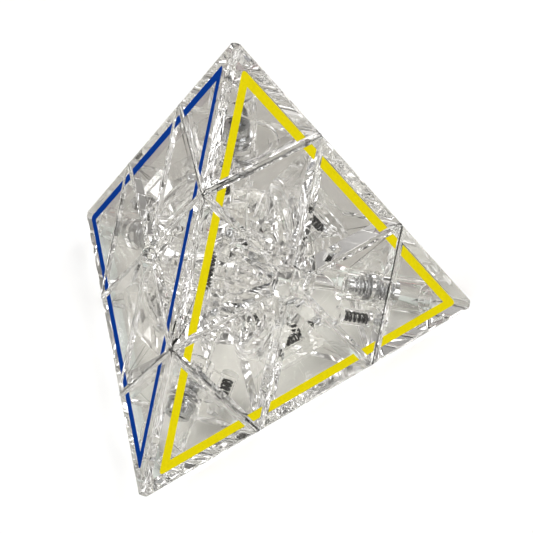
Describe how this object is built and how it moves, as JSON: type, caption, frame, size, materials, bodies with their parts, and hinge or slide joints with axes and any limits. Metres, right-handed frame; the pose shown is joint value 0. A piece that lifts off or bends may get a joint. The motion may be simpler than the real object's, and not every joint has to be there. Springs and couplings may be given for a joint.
{
  "type": "pyramid twisty puzzle",
  "caption": "Clear plastic pyramid twisty puzzle with turning corner layers, spinning tips, visible springs and shafts, and a thin coloured outline on every face.",
  "frame": {"origin": "centre of the hub, where the four turning axes cross, 19.6 mm above the resting face", "axes": "+Z from the hub through the top corner; -Y towards the front corner, so the front layer's axis lies in the YZ plane"},
  "size_m": [0.093, 0.0809, 0.0759],
  "materials": {
    "clear_shell": "gloss",
    "clear_inner": "gloss",
    "spring_steel": "satin",
    "bright_steel": "polished",
    "outline_yellow": "gloss",
    "outline_blue": "gloss",
    "outline_red": "gloss",
    "outline_green": "gloss"
  },
  "bodies": {
    "core": {"core_hub": "clear_inner", "shaft_screws": "bright_steel", "shaft_washers": "bright_steel", "tension_springs": "spring_steel"},
    "top_axial": {"top_axial_shell": "clear_shell", "top_axial_collar": "clear_inner", "top_axial_sleeve": "clear_inner", "top_click_spring": "spring_steel", "top_click_ball": "bright_steel"},
    "top_tip": {"top_tip_shell": "clear_shell", "top_tip_base": "clear_inner"},
    "front_axial": {"front_axial_shell": "clear_shell", "front_axial_collar": "clear_inner", "front_axial_sleeve": "clear_inner", "front_click_spring": "spring_steel", "front_click_ball": "bright_steel"},
    "front_tip": {"front_tip_shell": "clear_shell", "front_tip_base": "clear_inner"},
    "right_axial": {"right_axial_shell": "clear_shell", "right_axial_collar": "clear_inner", "right_axial_sleeve": "clear_inner", "right_click_spring": "spring_steel", "right_click_ball": "bright_steel"},
    "right_tip": {"right_tip_shell": "clear_shell", "right_tip_base": "clear_inner"},
    "left_axial": {"left_axial_shell": "clear_shell", "left_axial_collar": "clear_inner", "left_axial_sleeve": "clear_inner", "left_click_spring": "spring_steel", "left_click_ball": "bright_steel"},
    "left_tip": {"left_tip_shell": "clear_shell", "left_tip_base": "clear_inner"},
    "top_front_edge": {"top_front_edge_shell": "clear_shell", "top_front_edge_foot": "clear_inner", "top_front_edge_spring": "spring_steel", "top_front_edge_balls": "bright_steel"},
    "top_right_edge": {"top_right_edge_shell": "clear_shell", "top_right_edge_foot": "clear_inner", "top_right_edge_spring": "spring_steel", "top_right_edge_balls": "bright_steel"},
    "top_left_edge": {"top_left_edge_shell": "clear_shell", "top_left_edge_foot": "clear_inner", "top_left_edge_spring": "spring_steel", "top_left_edge_balls": "bright_steel"},
    "front_right_edge": {"front_right_edge_shell": "clear_shell", "front_right_edge_foot": "clear_inner", "front_right_edge_spring": "spring_steel", "front_right_edge_balls": "bright_steel"},
    "right_left_edge": {"right_left_edge_shell": "clear_shell", "right_left_edge_foot": "clear_inner", "right_left_edge_spring": "spring_steel", "right_left_edge_balls": "bright_steel"},
    "left_front_edge": {"left_front_edge_shell": "clear_shell", "left_front_edge_foot": "clear_inner", "left_front_edge_spring": "spring_steel", "left_front_edge_balls": "bright_steel"}
  },
  "joints": [
    {"name": "turn_top", "type": "hinge", "parent": "core", "child": "top_axial", "pos_m": [0, 0, 0], "axis": [0, 0, 1], "range_deg": [-240, 120]},
    {"name": "turn_front", "type": "hinge", "parent": "core", "child": "front_axial", "pos_m": [0, 0, 0], "axis": [0, -0.9428, -0.3333], "range_deg": [-240, 120]},
    {"name": "turn_right", "type": "hinge", "parent": "core", "child": "right_axial", "pos_m": [0, 0, 0], "axis": [0.8165, 0.4714, -0.3333], "range_deg": [-240, 120]},
    {"name": "turn_left", "type": "hinge", "parent": "core", "child": "left_axial", "pos_m": [0, 0, 0], "axis": [-0.8165, 0.4714, -0.3333], "range_deg": [-240, 120]},
    {"name": "spin_top_tip", "type": "hinge", "parent": "top_axial", "child": "top_tip", "pos_m": [0, 0, 0], "axis": [0, 0, 1], "continuous": true},
    {"name": "spin_front_tip", "type": "hinge", "parent": "front_axial", "child": "front_tip", "pos_m": [0, 0, 0], "axis": [0, -0.9428, -0.3333], "continuous": true},
    {"name": "spin_right_tip", "type": "hinge", "parent": "right_axial", "child": "right_tip", "pos_m": [0, 0, 0], "axis": [0.8165, 0.4714, -0.3333], "continuous": true},
    {"name": "spin_left_tip", "type": "hinge", "parent": "left_axial", "child": "left_tip", "pos_m": [0, 0, 0], "axis": [-0.8165, 0.4714, -0.3333], "continuous": true},
    {"name": "top_front_edge_follows_front", "type": "hinge", "parent": "top_axial", "child": "top_front_edge", "pos_m": [0, 0, 0], "axis": [0, -0.9428, -0.3333], "range_deg": [-240, 120]},
    {"name": "top_right_edge_follows_right", "type": "hinge", "parent": "top_axial", "child": "top_right_edge", "pos_m": [0, 0, 0], "axis": [0.8165, 0.4714, -0.3333], "range_deg": [-240, 120]},
    {"name": "top_left_edge_follows_left", "type": "hinge", "parent": "top_axial", "child": "top_left_edge", "pos_m": [0, 0, 0], "axis": [-0.8165, 0.4714, -0.3333], "range_deg": [-240, 120]},
    {"name": "front_right_edge_follows_right", "type": "hinge", "parent": "front_axial", "child": "front_right_edge", "pos_m": [0, 0, 0], "axis": [0.8165, 0.4714, -0.3333], "range_deg": [-240, 120]},
    {"name": "right_left_edge_follows_left", "type": "hinge", "parent": "right_axial", "child": "right_left_edge", "pos_m": [0, 0, 0], "axis": [-0.8165, 0.4714, -0.3333], "range_deg": [-240, 120]},
    {"name": "left_front_edge_follows_front", "type": "hinge", "parent": "left_axial", "child": "left_front_edge", "pos_m": [0, 0, 0], "axis": [0, -0.9428, -0.3333], "range_deg": [-240, 120]}
  ],
  "couplings": [
    {"joint": "top_front_edge_follows_front", "follows": "turn_front", "ratio": 1},
    {"joint": "top_right_edge_follows_right", "follows": "turn_right", "ratio": 1},
    {"joint": "top_left_edge_follows_left", "follows": "turn_left", "ratio": 1},
    {"joint": "front_right_edge_follows_right", "follows": "turn_right", "ratio": 1},
    {"joint": "right_left_edge_follows_left", "follows": "turn_left", "ratio": 1},
    {"joint": "left_front_edge_follows_front", "follows": "turn_front", "ratio": 1}
  ]
}
